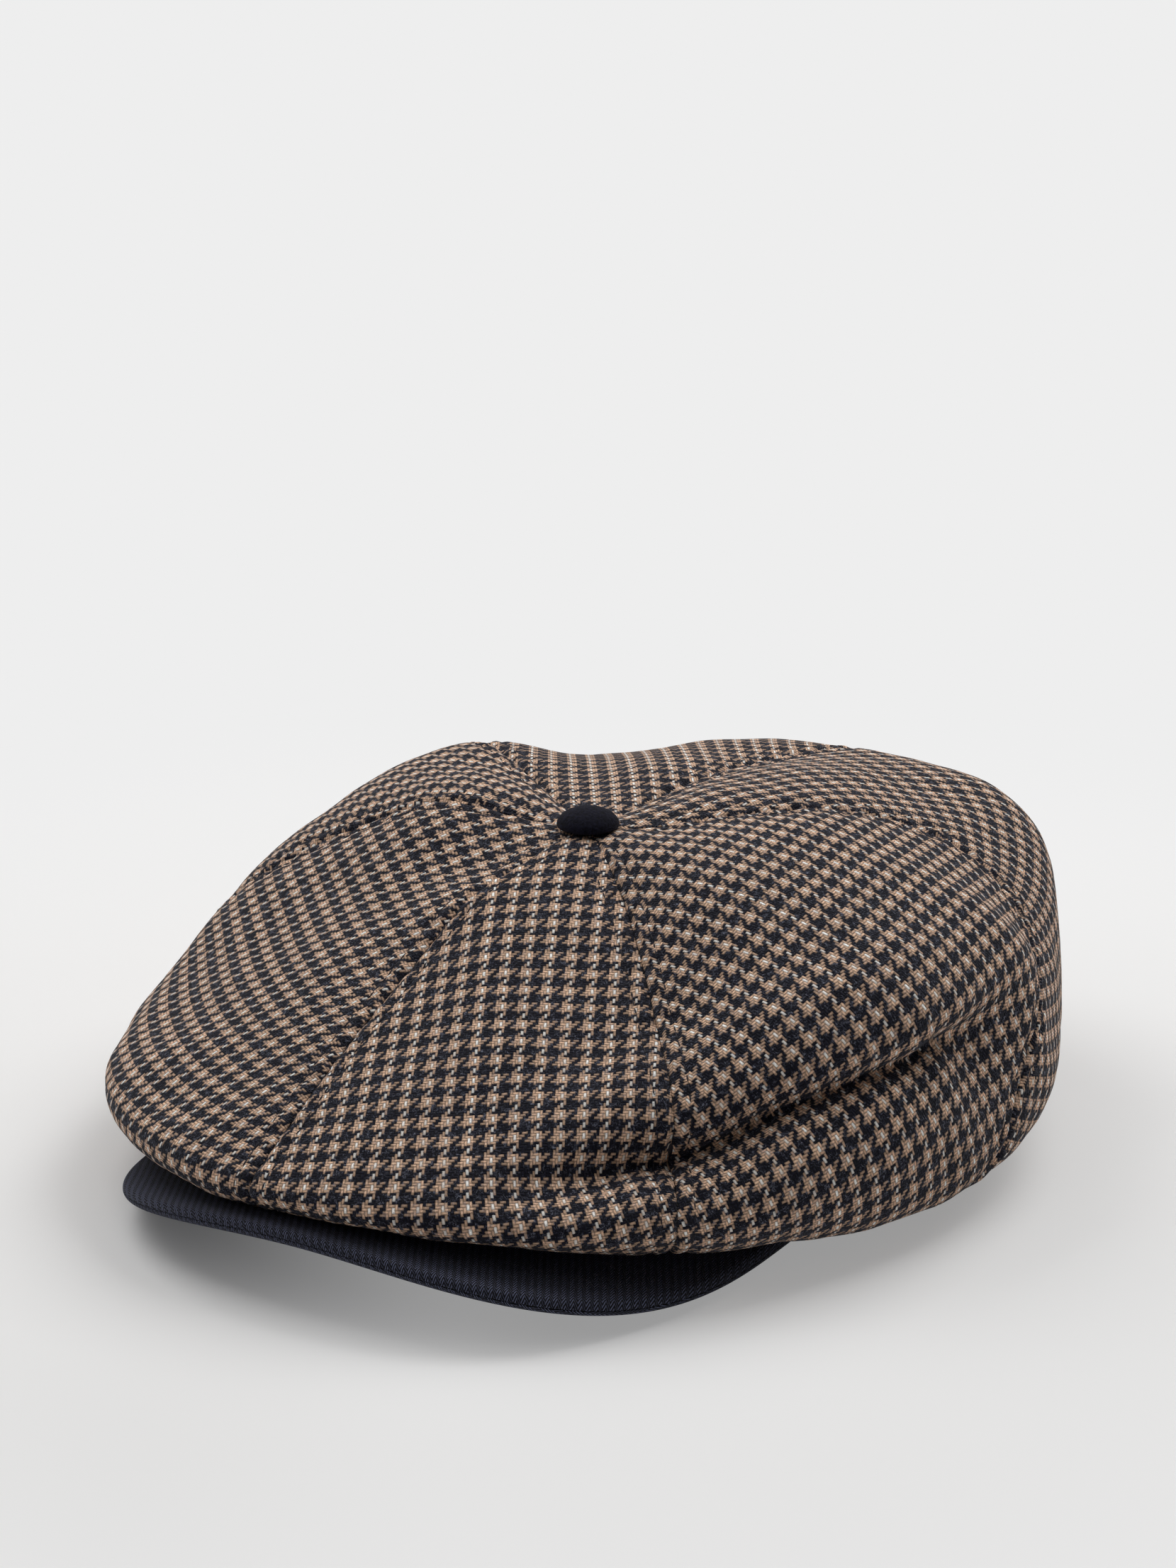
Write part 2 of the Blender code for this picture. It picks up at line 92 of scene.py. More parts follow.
def crown_line(angle):
    """One meridian from the button to the hem: radius, height, direction and length so far."""
    rim, rim_height = around(RIM_RADIUS, angle), around(RIM_HEIGHT, angle)
    turn = np.linspace(0, math.pi / 2, ARC_SAMPLES)
    top = 2 / around(TOP_FULLNESS, angle - FULLNESS_SPREAD * math.sin(2 * angle))
    radius = rim * np.sin(turn) ** top
    height = rim_height + (CROWN_HEIGHT - rim_height) * np.cos(turn) ** top
    height -= HOLLOW_DEPTH * np.exp(-((radius / HOLLOW_RADIUS) ** 2))
    apex = CROWN_HEIGHT - HOLLOW_DEPTH
    height = apex + (height - apex) * (1 - np.exp(-((radius / BUTTON_SEAT_RADIUS) ** 2)))
    hem, low = around(HEM_RADIUS, angle - CROWN_TWIST), hem_height(angle - CROWN_TWIST)
    tuck = 2 / around(TUCK_FULLNESS, angle)
    radius = np.append(radius, hem + (rim - hem) * np.cos(turn[1:]) ** tuck)
    height = np.append(height, rim_height - (rim_height - low) * np.sin(turn[1:]) ** tuck)
    line = np.column_stack([radius, height])[np.argmax(radius > APEX_HOLE) :]
    along = lengths(line)
    places = np.linspace(0, along[-1], LINE_ROWS)
    line = np.column_stack([np.interp(places, along, line[:, k]) for k in (0, 1)])
    reach = int(BEND_LENGTH / 2 / (along[-1] / (LINE_ROWS - 1)))
    ends = np.vstack([2 * line[0] - line[reach:0:-1], line, 2 * line[-1] - line[-2 : -reach - 2 : -1]])
    window = np.hanning(2 * reach + 3)[1:-1]
    line = np.column_stack([np.convolve(ends[:, k], window / window.sum(), "valid") for k in (0, 1)])
    facing = np.gradient(line, axis=0)
    facing /= np.linalg.norm(facing, axis=1)[:, None]
    return np.column_stack([line, facing, lengths(line)])


CROWN_LINES = np.array([crown_line(k * 2 * math.pi / LINE_ANGLES) for k in range(LINE_ANGLES)])


def on_crown(angle, share):
    """The crown lines between their points, at a plan angle in degrees and a share of the way down."""
    place = angle % 360 / 360 * LINE_ANGLES
    column = np.floor(place).astype(int) % LINE_ANGLES
    beside = (column + 1) % LINE_ANGLES
    u = (place - np.floor(place))[..., None]
    down = np.clip(share, 0, 1) * (LINE_ROWS - 1)
    row = np.minimum(np.floor(down).astype(int), LINE_ROWS - 2)
    v = (down - row)[..., None]
    upper = CROWN_LINES[column, row] * (1 - u) + CROWN_LINES[beside, row] * u
    lower = CROWN_LINES[column, row + 1] * (1 - u) + CROWN_LINES[beside, row + 1] * u
    return np.moveaxis(upper * (1 - v) + lower * v, -1, 0)


# Swells and hollows of the slouched cloth: plan angle, distance from the button, half sizes, lift
SLOUCH = (
    (-143, 100, 16, 62, -6.6),
    (-117, 98, 14, 34, 7.0),
    (-100, 120, 16, 30, -2.0),
    (-139, 60, 30, 30, 1.2),
    (176, 128, 20, 28, 3.7),
    (157, 142, 10, 22, 4.5),
    (150, 110, 16, 22, -0.9),
    (132, 146, 16, 28, -3.9),
    (133, 66, 30, 38, 4.9),
    (108, 172, 22, 18, 2.0),
    (88, 184, 32, 15, 3.9),
    (45, 176, 22, 14, 4.5),
    (10, 176, 22, 14, 0.9),
    (-4, 168, 24, 8, 2.4),
    (-22, 178, 20, 12, 1.2),
    (-36, 171, 18, 12, 5.9),
    (-45, 140, 10, 12, 1.9),
    (-64, 124, 13, 24, 2.5),
    (-72, 45, 26, 22, 5.0),
    (-6, 42, 15, 20, 4.0),
    (99, 146, 7, 9, -4.5),
    (113, 128, 6, 34, 2.8),
    (84, 156, 12, 9, 1.6),
)
# The rolled crease: its distance from the button at these plan angles, and the section across it
ROLL_ANGLES = (25, 38, 47, 67, 92, 115)
ROLL_PLACES = (150, 134, 126, 123, 130, 140)
ROLL_START = 24
ROLL_START_EASE = 30
ROLL_END = 118
ROLL_END_EASE = 28
ROLL_DEPTH = 9.5
ROLL_WIDTHS = (6.5, 11.0)  # above and below the crease
ROLL_SWELL = 4.0
ROLL_SWELL_RISE = 17
ROLL_SWELL_WIDTH = 12
ROLL_OVERHANG = 7.0
ROLL_OVERHANG_RISE = 9
ROLL_OVERHANG_WIDTH = 9
# Each gore swells between its seams, most of all midway down
GORE_SWELL = 3.6
GORE_ROUNDNESS = 1.2
SEAM_SINK = 2.2
SWELL_REACH = 165.0
SWELL_ROUNDNESS = 0.7


def smooth(x):
    x = np.clip(x, 0, 1)
    return x * x * (3 - 2 * x)


def turned(angle):
    return (angle + 180) % 360 - 180


def bump(distance, width):
    return np.exp(-((distance / width) ** 2))


def cloth(angle, share, across, inset=0.0):
    """Points of the slouched crown, inset from its outside; across is the share over a gore's width."""
    radius, height, out, down, along = on_crown(angle, share)
    lift = -inset
    for at, place, half_angle, half_length, amount in SLOUCH:
        lift = lift + amount * bump(turned(angle - at), half_angle) * bump(along - place, half_length)
    side = turned(angle)
    amount = smooth((side - ROLL_START) / ROLL_START_EASE) * smooth((ROLL_END - side) / ROLL_END_EASE)
    past = along - np.interp(side, ROLL_ANGLES, ROLL_PLACES)
    groove = bump(past, np.where(past < 0, *ROLL_WIDTHS))
    lift += amount * (ROLL_SWELL * bump(past + ROLL_SWELL_RISE, ROLL_SWELL_WIDTH) - ROLL_DEPTH * groove)
    slide = amount * ROLL_OVERHANG * bump(past + ROLL_OVERHANG_RISE, ROLL_OVERHANG_WIDTH)
    full = np.sin(math.pi * np.clip(along / SWELL_REACH, 0, 1)) ** SWELL_ROUNDNESS
    lift += full * (GORE_SWELL * np.sin(math.pi * across) ** GORE_ROUNDNESS - SEAM_SINK)
    radius, height = radius - down * lift + out * slide, height + out * lift + down * slide
    turn = np.radians(angle) - CROWN_TWIST
    return np.stack([radius * np.sin(turn), -radius * np.cos(turn), height], -1) + BUTTON_AXIS


# The seams wander from their even spacing as the cloth slouches: degrees at these shares of the way down
DRIFT_SHARES = (0.1, 0.35, 0.55, 0.75, 1.0)
SEAM_DRIFTS = (
    (-11, -4, 0, 3, 3),
    (-4, -6, -7, -9, -9),
    (14, 22, 10, -18, -26),
    (6, 6, 0, -8, -10),
    (0, 0, 0, 0, 0),
    (-17, -17, -13, -6, 0),
)
DRIFT_EASE = (-0.1, -0.05, 0, 0.05, 0.1)


def seam_angle(seam, share):
    drifts = SEAM_DRIFTS[seam % GORES]
    eased = [np.interp(share + step, DRIFT_SHARES, drifts) for step in DRIFT_EASE]
    return seam * GORE_ANGLE + np.mean(eased, axis=0)


def gore_points(gore, across, share, inset=0.0):
    low, high = seam_angle(gore, share), seam_angle(gore + 1, share)
    return cloth(low + (high - low) * across, share, across, inset)


def flat_area(flat):
    a, b, c, d = flat[:-1, :-1], flat[1:, :-1], flat[1:, 1:], flat[:-1, 1:]
    p, q = c - a, d - b
    return abs(float((p[..., 0] * q[..., 1] - p[..., 1] * q[..., 0]).sum() / 2))


def cloth_grid(name, points, flat=None, repeat=(1.0, 1.0)):
    """A grid of quads through points, with its flat places in pattern repeats as its UV map."""
    across, along = points.shape[0] - 1, points.shape[1] - 1
    bpy.ops.object.select_all(action="DESELECT")
    bpy.ops.mesh.primitive_grid_add(x_subdivisions=across, y_subdivisions=along, size=1)
    piece = bpy.context.object
    piece.name = piece.data.name = name
    mesh = piece.data
    mesh.vertices.foreach_set("co", (points.swapaxes(0, 1) * MM).ravel())
    mesh.uv_layers[0].name = "cloth"
    if flat is not None:
        corner = np.empty(len(mesh.loops), int)
        mesh.loops.foreach_get("vertex_index", corner)
        places = (flat / np.array(repeat)).swapaxes(0, 1).reshape(-1, 2)
        mesh.uv_layers["cloth"].data.foreach_set("uv", places[corner].ravel())
    mesh.update()
    bpy.ops.object.shade_smooth()
    return piece


def laid_flat(points):
    """Flat places in millimetres of cloth points unwrapped with the least stretch, middle column up."""
    trial = cloth_grid("trial", points)
    bpy.ops.object.mode_set(mode="EDIT")
    bpy.ops.mesh.select_all(action="SELECT")
    bpy.ops.uv.unwrap(method="MINIMUM_STRETCH", correct_aspect=False, margin=0.0)
    bpy.ops.object.mode_set(mode="OBJECT")
    mesh = trial.data
    corner = np.empty(len(mesh.loops), int)
    mesh.loops.foreach_get("vertex_index", corner)
    places = np.empty(len(mesh.loops) * 2)
    mesh.uv_layers["cloth"].data.foreach_get("uv", places)
    flat = np.empty((len(mesh.vertices), 2))
    flat[corner] = places.reshape(-1, 2)
    flat = flat.reshape(points.shape[1], points.shape[0], 2).swapaxes(0, 1)
    flat = flat * math.sqrt(sum(face.area for face in mesh.polygons) / MM**2 / flat_area(flat))
    bpy.data.objects.remove(trial)
    middle = flat[points.shape[0] // 2]
    x, y = (middle[-1] - middle[0]) / np.linalg.norm(middle[-1] - middle[0])
    return (flat - middle[0]) @ np.array([[y, x], [-x, y]])


def apply_modifier(piece, kind, **settings):
    bpy.ops.object.select_all(action="DESELECT")
    piece.select_set(True)
    bpy.context.view_layer.objects.active = piece
    modifier = piece.modifiers.new(kind.lower(), kind)
    for name, value in settings.items():
        setattr(modifier, name, value)
    bpy.ops.object.modifier_apply(modifier=modifier.name)


class Value:
    """A shader socket; sums and products of values become Math nodes."""

    def __init__(self, look, socket):
        self.look = look
        self.socket = socket

    def math(self, operation, *others):
        values = {k: other for k, other in enumerate((self, *others))}
        return self.look.node("ShaderNodeMath", {"operation": operation}, values)

    def __add__(self, other):
        return self.math("ADD", other)

    def __sub__(self, other):
        return self.math("SUBTRACT", other)

    def __rsub__(self, other):
        return self.math("MULTIPLY", -1).math("ADD", other)

    def __mul__(self, other):
        return self.math("MULTIPLY", other)

    def __mod__(self, other):
        return self.math("FLOORED_MODULO", other)

    def __lt__(self, other):
        return self.math("LESS_THAN", other)

    def __pow__(self, other):
        return self.math("POWER", other)

    __radd__ = __add__
    __rmul__ = __mul__

    def floor(self):
        return self.math("FLOOR")

    def abs(self):
        return self.math("ABSOLUTE")

    def ramp(self, low, high):
        """0 up to low, 1 from high."""
        return self.look.node(
            "ShaderNodeMapRange",
            {"interpolation_type": "SMOOTHSTEP"},
            {"Value": self, "From Min": low, "From Max": high},
        )


class Look:
    """A Principled material in the making."""

    def __init__(self, name, roughness, **constants):
        self.material = bpy.data.materials.new(name)
        self.material.use_nodes = True
        self.tree = self.material.node_tree
        self.shader = self.tree.nodes["Principled BSDF"]
        self.set("Roughness", roughness)
        for socket, value in constants.items():
            self.set(socket.replace("_", " "), value)

    def set(self, socket, value):
        self.put(self.shader.inputs[socket], value)

    def put(self, socket, value):
        if isinstance(value, Value):
            self.tree.links.new(value.socket, socket)
        elif socket.type == "RGBA":
            socket.default_value = (*value, 1.0)
        else:
            socket.default_value = value

    def node(self, kind, settings, values, output=0):
        made = self.tree.nodes.new(kind)
        for name, value in settings.items():
            setattr(made, name, value)
        for name, value in values.items():
            self.put(made.inputs[name], value)
        return Value(self, made.outputs[output])

    def cloth_place(self):
        return self.node("ShaderNodeUVMap", {"uv_map": "cloth"}, {})

    def object_place(self):
        return self.node("ShaderNodeTexCoord", {}, {}, "Object")

    def parts(self, vector):
        return [self.node("ShaderNodeSeparateXYZ", {}, {0: vector}, k) for k in range(3)]

    def vector(self, x, y, z=0.0):
        return self.node("ShaderNodeCombineXYZ", {}, {0: x, 1: y, 2: z})

    def noise(self, place, scale, detail=2.0, roughness=0.5, distortion=0.0):
        values = {"Vector": place, "Scale": scale, "Detail": detail}
        values.update({"Roughness": roughness, "Distortion": distortion})
        return self.node("ShaderNodeTexNoise", {}, values)

    def chance(self, place):
        """A value from 0 to 1 that is even over each whole number of place."""
        return self.node("ShaderNodeTexWhiteNoise", {"noise_dimensions": "2D"}, {"Vector": place})

    def mix(self, share, first, second):
        return self.node("ShaderNodeMix", {"data_type": "RGBA"}, {0: share, 6: first, 7: second}, 2)

    def shade(self, colour, amount):
        grey = self.node("ShaderNodeCombineColor", {}, {0: amount, 1: amount, 2: amount})
        values = {0: 1.0, 6: colour, 7: grey}
        return self.node("ShaderNodeMix", {"data_type": "RGBA", "blend_type": "MULTIPLY"}, values, 2)

    def bump(self, height, distance, strength=1.0):
        values = {"Height": height, "Distance": distance, "Strength": strength}
        self.set("Normal", self.node("ShaderNodeBump", {}, values))

    def fibres(self, place, scale, width, seed):
        """Thin curled lines of loose fibre, as a mask."""
        values = {0: place, 1: (seed, -seed, seed)}
        moved = self.node("ShaderNodeVectorMath", {"operation": "ADD"}, values)
        line = self.noise(moved, scale, 1.0, 0.4, 1.2) - 0.5
        here = self.noise(moved, scale * 0.6, 1.0).ramp(0.48, 0.62)
        return (1 - line.abs().ramp(0.0, width)) * here


def linear(*colour):
    """A screen colour of 0 to 255 as the light that a shader works with."""
    return tuple(c / 255 / 12.92 if c <= 10.3 else ((c / 255 + 0.055) / 1.055) ** 2.4 for c in colour)


# The cloth is a 2/2 twill of eight ends by eight picks to the repeat, four light and four dark each way.
# The third light end is cream, and the other light yarns are tan.
REPEAT = (6.1, 6.6)
THREADS = 8
LIGHT_THREADS = 4
CREAM_END = 2
TWILL_STEPS = 4
TWILL_FLOAT = 2
WAVER = 0.05
WAVER_SCALES = (2.3, 3.1)
RAGGEDNESS = 0.07
RAGGED_SCALES = (21.0, 24.0)
TUFT_SCALE = 26.0
HAIR_COVER = 0.36
WEAVE_RELIEF = 0.45
NAVY_YARN = linear(24, 24, 46)
TAN_YARN = linear(254, 212, 180)
CREAM_YARN = linear(255, 254, 250)
LOOSE_FIBRE = linear(180, 185, 208)

wool = Look("houndstooth_wool", 0.92, Specular_IOR_Level=0.2, Sheen_Weight=0.06, Sheen_Roughness=0.5)
place = wool.cloth_place()
waver_u, waver_v = [wool.noise(place, scale, 2.0) - 0.5 for scale in WAVER_SCALES]
ragged_u, ragged_v = [wool.noise(place, scale, 2.0, 0.6) - 0.5 for scale in RAGGED_SCALES]
weave_u, weave_v, _ = wool.parts(place)
ends = (weave_u + waver_u * WAVER + ragged_u * RAGGEDNESS) * THREADS
picks = (weave_v + waver_v * WAVER + ragged_v * RAGGEDNESS) * THREADS
end, pick = ends.floor(), picks.floor()
end_at, pick_at = ends - end, picks - pick
lift_step = (end - pick) % TWILL_STEPS
warp_up = lift_step < TWILL_FLOAT - 0.5
light_end = (end % THREADS) < LIGHT_THREADS - 0.5
light_pick = (pick % THREADS) < LIGHT_THREADS - 0.5
cream_end = ((end % THREADS - CREAM_END).abs() < 0.5) * warp_up
light = warp_up * light_end + (1 - warp_up) * light_pick
warp_along = (pick_at + 1 - lift_step) * (1 / TWILL_FLOAT)
weft_along = (end_at + lift_step - TWILL_FLOAT) * (1 / TWILL_FLOAT)
warp_round = 1 - (end_at * 2 - 1) ** 2
weft_round = 1 - (pick_at * 2 - 1) ** 2
warp_height = warp_round * (0.35 + 2.6 * warp_along * (1 - warp_along))
weft_height = weft_round * (0.35 + 2.6 * weft_along * (1 - weft_along))
thread_height = warp_up * warp_height + (1 - warp_up) * weft_height
thread = wool.chance(wool.vector(end * warp_up + 0.37, pick * (1 - warp_up) + 0.61))
tuft = wool.noise(place, TUFT_SCALE, 3.0, 0.65)
yarn = wool.mix(cream_end * (0.7 + 0.3 * thread), TAN_YARN, CREAM_YARN)
yarn = wool.mix(light, NAVY_YARN, yarn)
# Brightest where light crosses light; painted shade darkens each thread where it dips, and no two are
# quite alike
star = 0.75 + 0.5 * light_end * light_pick
# Painted shade from the thread heights, times random tone from threads and tufts
dip_shade_and_tone = (0.25 + 0.8 * thread_height) * (0.65 + 0.35 * thread) * (0.4 + 1.2 * tuft)
woven = wool.shade(yarn, dip_shade_and_tone * star + 0.35 * cream_end)
hairs = wool.fibres(place, 5.5, 0.045, 3.0) + wool.fibres(place, 7.0, 0.036, 11.0)
wool.set("Base Color", wool.mix(hairs * HAIR_COVER, woven, LOOSE_FIBRE))
wool.set("Roughness", 0.98 - 0.14 * thread_height)
wool.bump(thread_height * 0.75 + tuft * 0.35 + hairs * 0.25, WEAVE_RELIEF * MM, 0.8)

GORE_NAMES = ("front_left", "left", "back_left", "back_right", "right", "front_right")
GORE_COLUMNS = 72
GORE_ROWS = 180
SEAM_CROWDING = 0.1  # draws the columns together at the seams
CLOTH_THICKNESS = 1.2
GRAIN_TURNS = (-9, -22, -13, -10, -10, 3)  # of the weave on each gore, in degrees
STITCH_OFFSET = 5.0
PUCKER = 0.45
PUCKER_LENGTH = 8.5
PUCKER_BEAT = 1.3
PUCKER_PLACE = 2.5
PUCKER_WIDTH = 3.5
SEAM_GROOVE = 1.1
SEAM_GROOVE_WIDTH = 1.2
STITCH_GROOVE = 0.45
STITCH_GROOVE_WIDTH = 1.1
RELIEF_WIDTHS = (12.0, 42.0)  # gore widths over which grooves, puckers and ripples come in
RIPPLES = ((27.0, 1.1), (12.0, 0.45))  # length and depth
RIPPLE_EDGES = (8.0, 15.0)  # clear of the seams and of the hem


def normals_of(points):
    normals = np.cross(np.gradient(points, axis=0), np.gradient(points, axis=1))
    return normals / np.linalg.norm(normals, axis=-1, keepdims=True)


def turned_flat(flat, degrees):
    c, s = math.cos(math.radians(degrees)), math.sin(math.radians(degrees))
    return flat @ np.array([[c, s], [-s, c]])


def row_lengths(points):
    steps = np.linalg.norm(np.diff(points, axis=0), axis=-1)
    return np.vstack([np.zeros(points.shape[1]), np.cumsum(steps, axis=0)])


def ripple(point):
    return sum(depth * noise.noise(Vector(point / length)) for length, depth in RIPPLES)


gore_even = np.linspace(0, 1, GORE_COLUMNS + 1)
gore_across = gore_even - SEAM_CROWDING * np.sin(2 * math.pi * gore_even)
gore_share = np.linspace(1, 0, GORE_ROWS + 1)
gore_surfaces = []
for gore, place_name in enumerate(GORE_NAMES):
    across, share = np.meshgrid(gore_across, gore_share, indexing="ij")
    surface = gore_points(gore, across, share)
    flat = laid_flat(surface)
    over = row_lengths(surface)
    seam_distance = np.minimum(over, over[-1] - over)
    along = lengths(surface[0])
    pucker_at = along / PUCKER_LENGTH
    wave = np.sin(pucker_at * 2 * math.pi + gore) * np.sin(pucker_at * PUCKER_BEAT + 2 * gore)
    fade = smooth((over[-1] - RELIEF_WIDTHS[0]) / (RELIEF_WIDTHS[1] - RELIEF_WIDTHS[0]))
    relief = PUCKER * wave * bump(seam_distance - PUCKER_PLACE, PUCKER_WIDTH)
    relief -= SEAM_GROOVE * bump(seam_distance, SEAM_GROOVE_WIDTH)
    relief -= STITCH_GROOVE * bump(seam_distance - STITCH_OFFSET, STITCH_GROOVE_WIDTH)
    clear = smooth(seam_distance / RIPPLE_EDGES[0]) * smooth(along / RIPPLE_EDGES[1])
    relief += clear * np.apply_along_axis(ripple, -1, surface)
    surface = surface + normals_of(surface) * (relief * fade)[..., None]
    name = "crown_gore_" + place_name
    piece = cloth_grid(name, surface, turned_flat(flat, GRAIN_TURNS[gore]), REPEAT)
    apply_modifier(piece, "SOLIDIFY", thickness=CLOTH_THICKNESS * MM, offset=-1.0)
    piece.data.materials.append(wool.material)
    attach(piece, "crown")
    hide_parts("crown_panel_" + place_name)
    size = tuple(np.ptp(flat, axis=(0, 1)) * MM)
    area = flat_area(flat) * MM**2
    gore_surfaces.append(surface)

# Topstitching: dark thread sewn down both sides of every crown seam, five millimetres from it.
# Each stitch is a short length of thread that sinks into the cloth at both ends.
STITCH_LENGTH = 2.5
STITCH_STEP = 3.2
STITCH_THICKNESS = 0.5
STITCH_CLEAR = 16.0  # of the crown's top
STITCH_SEGMENTS = 6
STITCH_RINGS = 5
PLY_SCALE = 2600.0
THREAD_COLOURS = (linear(30, 28, 36), linear(52, 48, 54))

thread_look = Look("stitching_thread", 0.7, Specular_IOR_Level=0.3)
ply = thread_look.noise(thread_look.object_place(), PLY_SCALE, 2.0)
thread_look.set("Base Color", thread_look.mix(ply, *THREAD_COLOURS))
bpy.ops.object.select_all(action="DESELECT")
bpy.ops.mesh.primitive_uv_sphere_add(segments=STITCH_SEGMENTS, ring_count=STITCH_RINGS, radius=0.5)
stitch = bpy.context.object
bpy.ops.object.shade_smooth()
stitch.data.materials.append(thread_look.material)


def stitch_row(gore, first_edge):
    """Places and directions of the stitches along one side of a gore."""
    surface = gore_surfaces[gore]
    over = row_lengths(surface)
    if not first_edge:
        over = over[-1] - over
    normals = normals_of(surface)
    line, facing = [], []
    for row in range(surface.shape[1]):
        order = np.argsort(over[:, row])
        reach = over[order, row]
        line.append([np.interp(STITCH_OFFSET, reach, surface[order, row, k]) for k in range(3)])
        facing.append([np.interp(STITCH_OFFSET, reach, normals[order, row, k]) for k in range(3)])
    line, facing = np.array(line), np.array(facing)
    along = lengths(line)
    for place in np.arange(STITCH_STEP, along[-1] - STITCH_CLEAR, STITCH_STEP):
        ends = [place - STITCH_LENGTH / 2, place + STITCH_LENGTH / 2]
        tail, tip = np.array([[np.interp(e, along, line[:, k]) for k in range(3)] for e in ends])
        out = np.array([np.interp(place, along, facing[:, k]) for k in range(3)])
        yield (tail + tip) / 2, tip - tail, out


stitches = []
for gore in range(GORES):
    for first_edge in (True, False):
        for middle, run, out in stitch_row(gore, first_edge):
            run = Vector(run).normalized()
            side = run.cross(Vector(out)).normalized()
            turn = Matrix((run, side, run.cross(side))).transposed().to_4x4()
            thick = STITCH_THICKNESS * MM
            size = Matrix.Diagonal((STITCH_LENGTH * MM, thick, thick, 1.0))
            copy = stitch.copy()
            copy.data = stitch.data.copy()
            copy.data.transform(Matrix.Translation(Vector(middle) * MM) @ turn @ size)
            bpy.context.scene.collection.objects.link(copy)
            stitches.append(copy)
bpy.data.objects.remove(stitch)
bpy.ops.object.select_all(action="DESELECT")
for copy in stitches:
    copy.select_set(True)
bpy.context.view_layer.objects.active = stitches[0]
bpy.ops.object.join()
topstitching = bpy.context.object
topstitching.name = topstitching.data.name = "crown_topstitching"
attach(topstitching, "crown")

# Lining: six gores of dark satin behind the wool, sewn together like the crown's.
# It is caught at the hem and under the button, and hangs a little loose inside the crown.
LINING_INSET = 3.3
LINING_THICKNESS = 0.4
LINING_SHARES = (0.965, 0.03)
LINING_COLUMNS = 32
LINING_ROWS = 80
SATIN_FLOATS = (6.0, 0.5)
SATIN_COLOURS = (linear(36, 35, 46), linear(44, 43, 54))

satin = Look("satin_lining", 0.35, Specular_IOR_Level=0.5)
place = satin.cloth_place()
satin_u, satin_v, _ = satin.parts(place)
float_place = satin.vector(satin_u * SATIN_FLOATS[0], satin_v * SATIN_FLOATS[1])
float_line = satin.noise(float_place, 1.0, 2.0)
rumple = satin.noise(place, 0.12, 2.0)
satin.set("Base Color", satin.mix(float_line, *SATIN_COLOURS))
satin.set("Roughness", 0.3 + 0.16 * float_line)
satin.bump(float_line + rumple * 6, 0.3 * MM, 0.5)
lining_even = np.linspace(0, 1, LINING_COLUMNS + 1)
lining_down = np.linspace(*LINING_SHARES, LINING_ROWS + 1)
lining_across, lining_share = np.meshgrid(lining_even, lining_down, indexing="ij")
for gore, place_name in enumerate(GORE_NAMES):
    surface = gore_points(gore, lining_across, lining_share, LINING_INSET)
    flat = laid_flat(surface)
    piece = cloth_grid("lining_gore_" + place_name, surface, flat)
    apply_modifier(piece, "SOLIDIFY", thickness=LINING_THICKNESS * MM, offset=-1.0)
    piece.data.materials.append(satin.material)
    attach(piece, "crown")
    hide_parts("lining_panel_" + place_name)
    size = tuple(np.ptp(flat, axis=(0, 1)) * MM)
    area = flat_area(flat) * MM**2

# Sweatband: a band of cotton twill, folded double and sewn in round the head opening.
# It is stitched through near its top, and the cap stands on its lower fold, which rises in front.
SWEATBAND = 1.6
SWEATBAND_WIDTH = 28.0
SWEATBAND_FLAT_FROM = 0.25
SWEATBAND_FRONT_RISE = 14.0
BAND_GAP = 0.5
BAND_COLUMNS = 240
BAND_FOLD_STEPS = 6
BAND_FOLD_CLEAR = 3.0  # the flat faces keep clear of the folds
BAND_FRONT_POINTS = 6
BAND_BACK_POINTS = 4
BAND_STITCH_SINK = 0.4
BAND_STITCH_PLACES = (5.0, 3.6, 2.2)  # from the top edge down to the dent's foot, middle and head
COTTON_RIBS = 1.6
COTTON_COLOURS = (linear(30, 29, 36), linear(54, 53, 62))

cotton = Look("band_cotton", 0.85, Specular_IOR_Level=0.25, Sheen_Weight=0.1)
place = cotton.cloth_place()
band_u, band_v, _ = cotton.parts(place)
rib = ((band_u + band_v) * COTTON_RIBS % 1 * 2 - 1).abs()
cotton.set("Base Color", cotton.mix(rib, *COTTON_COLOURS))
cotton.bump(rib + cotton.noise(place, 3.0) * 0.4, 0.15 * MM, 0.7)


def closed_ring(name, profile_at, columns):
    """A band swept once round the button's axis; profile_at gives its outline in radius and height."""
    points = []
    for angle in np.linspace(0, 2 * math.pi, columns + 1):
        outline = np.array(profile_at(angle))
        out = np.array([math.sin(angle), -math.cos(angle)])
        points.append([[*(out * radius), height] for radius, height in [*outline, outline[0]]])
    points = np.array(points)[:, ::-1] + BUTTON_AXIS
    around_at = lengths(points[:, 0])[:, None].repeat(points.shape[1], 1)
    along_at = lengths(points[0])[None].repeat(points.shape[0], 0)
    piece = cloth_grid(name, points, np.stack([around_at, along_at], -1))
    bpy.ops.object.mode_set(mode="EDIT")
    bpy.ops.mesh.select_all(action="SELECT")
    bpy.ops.mesh.remove_doubles(threshold=0.01 * MM)
    bpy.ops.mesh.normals_make_consistent(inside=False)
    bpy.ops.object.mode_set(mode="OBJECT")
    return piece


def sweatband_edge(angle):
    forward = max(0, math.cos(angle) - SWEATBAND_FLAT_FROM) / (1 - SWEATBAND_FLAT_FROM)
    return SWEATBAND_FRONT_RISE * forward**2


